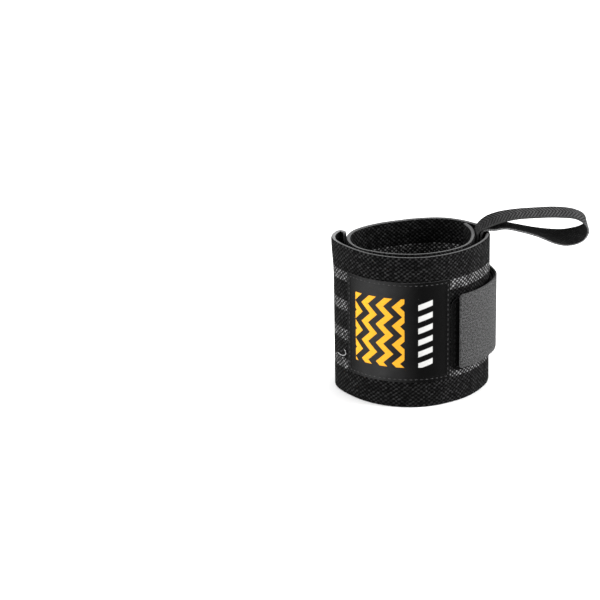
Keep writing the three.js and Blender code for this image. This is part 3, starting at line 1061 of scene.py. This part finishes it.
# %% Loop patch material
pile, t, shader, place = cloth_material("brushed_pile", 1.0, specular=0.03)
lint = put_group(t, lint_group, place, Fleck_Size=0.7)
dark = t.mix(lint["Flecks"], grey(0.002), grey(0.0075))
t.feed(shader.inputs["Base Color"], blend(t, lint["Fibres"], 0.4, dark, grey(0.02)))
bump(t, shader, t.math("ADD", lint["Flecks"], lint["Fibres"]), 0.7)
pile_edge, t, shader, place = cloth_material("pile_edge", 0.9, specular=0.05)
lint = put_group(t, lint_group, place, Fleck_Size=0.5)
t.feed(shader.inputs["Base Color"], t.mix(lint["Flecks"], grey(0.008), grey(0.05)))
bump(t, shader, lint["Flecks"], 0.3)
patch.data.materials.append(pile)
patch.data.materials.append(pile_edge)

# %% Strap material
strap_cloth, t, shader, place = cloth_material("grey_knit", 0.85, sheen=0.03, specular=0.05)
knit = put_group(t, knit_group, place, Stitch_Length=1.1, Row_Height=0.5, Wander=0.3)
lint = put_group(t, lint_group, place, Fleck_Size=0.85)
fine = t.mix(knit["Dots"], grey(0.013), grey(0.028))
fine = t.mix(lint["Flecks"], fine, grey(0.083))
fine = blend(t, lint["Broad"], 0.15, fine, grey(0.025))
t.feed(shader.inputs["Base Color"], fine)
relief = t.math("MULTIPLY_ADD", lint["Flecks"], 0.8, knit["Height"])
bump(t, shader, relief, 0.22)
strap.data.materials.append(strap_cloth)
strap.data.materials.append(flecked_edge("strap_edge", 0.85))

# %% Hook pad material
hook_cloth, t, shader, place = cloth_material("hook_field", 0.6)
knit = put_group(t, knit_group, place, Stitch_Length=1.6, Row_Height=0.9, Wander=0.05)
lint = put_group(t, lint_group, place, Fleck_Size=0.5)
hook_colour = t.mix(knit["Dots"], grey(0.003), grey(0.02))
t.feed(shader.inputs["Base Color"], blend(t, lint["Flecks"], 0.3, hook_colour, grey(0.01)))
bump(t, shader, knit["Height"], 0.5)
hooks.data.materials.append(hook_cloth)
hooks.data.materials.append(hook_cloth)

# %% [markdown]
# ### Ribbed tape
#
# The thumb loop's tape is woven with fat cross ribs that catch the light as short pale lines,
# in columns along the tape. The ribs lean back on both sides of its middle, so they meet there
# in a shallow arrow. A painted shade darkens the tape next to the band, and a painted
# highlight makes the edge of its returning leg pale.

# %% Tape material
RIB_STEP, COLUMN_STEP, ARROW_LEAN = 1.7, 2.0, 0.45
# where the painted shade on the tape ends, along it from its lower end
PAINTED_SHADE_ENDS_FROM, PAINTED_SHADE_ENDS_TO = BAND_WIDTH + 2, BAND_WIDTH + 30

tape_cloth, t, shader, place = cloth_material("ribbed_tape", 0.85, sheen=0.01, specular=0.04)
plain = put_group(t, knit_group, place, Stitch_Length=1.7, Row_Height=ONE_ROW, Wander=0.2)
lint = put_group(t, lint_group, place, Fleck_Size=0.5)
arrow = t.math("MULTIPLY", t.math("ABSOLUTE", plain["Up"]), ARROW_LEAN)
ribs = t.wave(t.math("ADD", plain["Along"], arrow), RIB_STEP)
columns = t.wave(plain["Up"], COLUMN_STEP)
light = t.math("MULTIPLY", ribs, t.math("MULTIPLY_ADD", columns, 0.5, 0.5))
# painted shade: the ribs are darker on the leg down the band and just above the rim, where the
# roll shades the tape
out_of_painted_shade = t.step(plain["Along"], PAINTED_SHADE_ENDS_FROM, PAINTED_SHADE_ENDS_TO)
light = t.math("MULTIPLY", light, t.math("MULTIPLY_ADD", out_of_painted_shade, 0.65, 0.35))
light = t.math("MULTIPLY", light, t.math("MULTIPLY_ADD", plain["Vary"], 0.4, 0.7))
tape_colour = t.mix(light, grey(0.002), grey(0.088))
tape_colour = blend(t, lint["Flecks"], 0.2, tape_colour, grey(0.035))
t.feed(shader.inputs["Base Color"], tape_colour)
bump(t, shader, light, 0.3)

# %% Inner face and edge of the tape
# where the painted highlight on the edge of the loop's returning strand lies, along the tape
EDGE_HIGHLIGHT_FROM, EDGE_HIGHLIGHT_TO = 138.0, 196.0

tape_inside, t, shader, place = cloth_material("tape_inside", 0.9, specular=0.05)
knit = put_group(t, knit_group, place, Stitch_Length=1.7, Row_Height=0.8, Wander=0.2)
lint = put_group(t, lint_group, place, Fleck_Size=0.5)
inside_colour = blend(t, knit["Dots"], knit["Vary"], grey(0.004), grey(0.032))
inside_colour = blend(t, lint["Flecks"], 0.25, inside_colour, grey(0.026))
t.feed(shader.inputs["Base Color"], inside_colour)
bump(t, shader, knit["Height"], 0.25)
tape_edge, t, shader, place = cloth_material("tape_edge", 0.85, sheen=0.03, specular=0.08)
lint = put_group(t, lint_group, place, Fleck_Size=0.4)
plain = put_group(t, knit_group, place, Wander=0.0)
# painted highlight: the edge is paler along the loop's returning strand, as a lit edge
painted_edge_highlight = t.inside(plain["Along"], EDGE_HIGHLIGHT_FROM, EDGE_HIGHLIGHT_TO, 8.0)
edge_light = t.mix(painted_edge_highlight, grey(0.05), grey(0.26))
t.feed(shader.inputs["Base Color"], t.mix(lint["Flecks"], grey(0.015), edge_light))
tape.data.materials.append(tape_cloth)
tape.data.materials.append(tape_edge)
tape.data.materials.append(tape_inside)

# %% Thread materials
def thread_material(name, dark, light):
    """Thread has no flat pattern, so its lint is placed in space."""
    material, tree, shader = new_material(name, 0.7)
    place = tree.add("ShaderNodeTexCoord").outputs["Object"]
    lint = put_group(tree, lint_group, place, Fleck_Size=0.3)
    tree.feed(shader.inputs["Base Color"], tree.mix(lint["Flecks"], grey(dark), grey(light)))
    bump(tree, shader, lint["Flecks"], 0.1)
    return material


black_thread = thread_material("black_thread", 0.003, 0.012)
pulled_yarn.data.materials.append(thread_material("pale_yarn", 0.2, 0.5))
label_seam.data.materials.append(thread_material("grey_thread", 0.01, 0.08))
for seam in (patch_seam, strap_seam, tape_seam):
    seam.data.materials.append(black_thread)

# %% [markdown]
# ## How the cloths rest
#
# The band lies rolled up on the floor, and the others are held by the cloth that they are
# sewn to or stuck on.


# %% [markdown]
# ## Floor and light
#
# The wrap stands on a plain white floor in a white room. One large soft light from above gives
# the dark cloth its tone, and a smaller one at each side lifts the strap and the stripes, as a
# photographer would light black goods on white.

# %% Floor
floor_bm = bmesh.new()
bmesh.ops.create_grid(floor_bm, x_segments=1, y_segments=1, size=6)
floor_mesh = bpy.data.meshes.new("floor")
floor_bm.to_mesh(floor_mesh)
floor_bm.free()
floor = bpy.data.objects.new("floor", floor_mesh)
bpy.context.scene.collection.objects.link(floor)
floor_material = bpy.data.materials.new("white_floor")
floor_material.use_nodes = True
floor_shader = floor_material.node_tree.nodes["Principled BSDF"]
floor_shader.inputs["Base Color"].default_value = (0.9, 0.9, 0.9, 1)
floor_shader.inputs["Roughness"].default_value = 0.9
floor_mesh.materials.append(floor_material)


# %% Lights
def soft_light(name, place, aim, size, power):
    data = bpy.data.lights.new(name, "AREA")
    data.shape = "SQUARE"
    data.size = size
    data.energy = power
    light = bpy.data.objects.new(name, data)
    light.location = place
    light.rotation_euler = (Vector(aim) - Vector(place)).to_track_quat("-Z", "Y").to_euler()
    bpy.context.scene.collection.objects.link(light)


roll_middle = (-0.02, 0, 0.04)
soft_light("top_light", (0, 0.4, 1.8), (0, 0.4, 0), 3.0, 46)
soft_light("right_light", (1.3, -0.1, 0.45), roll_middle, 0.7, 38)
soft_light("left_light", (-1.25, -0.5, 0.35), roll_middle, 0.6, 24)

world = bpy.data.worlds.new("white_room")
world.use_nodes = True
background = world.node_tree.nodes["Background"]
background.inputs["Color"].default_value = (1, 1, 1, 1)
background.inputs["Strength"].default_value = 0.5
bpy.context.scene.world = world
bpy.context.scene.view_settings.view_transform = "Standard"
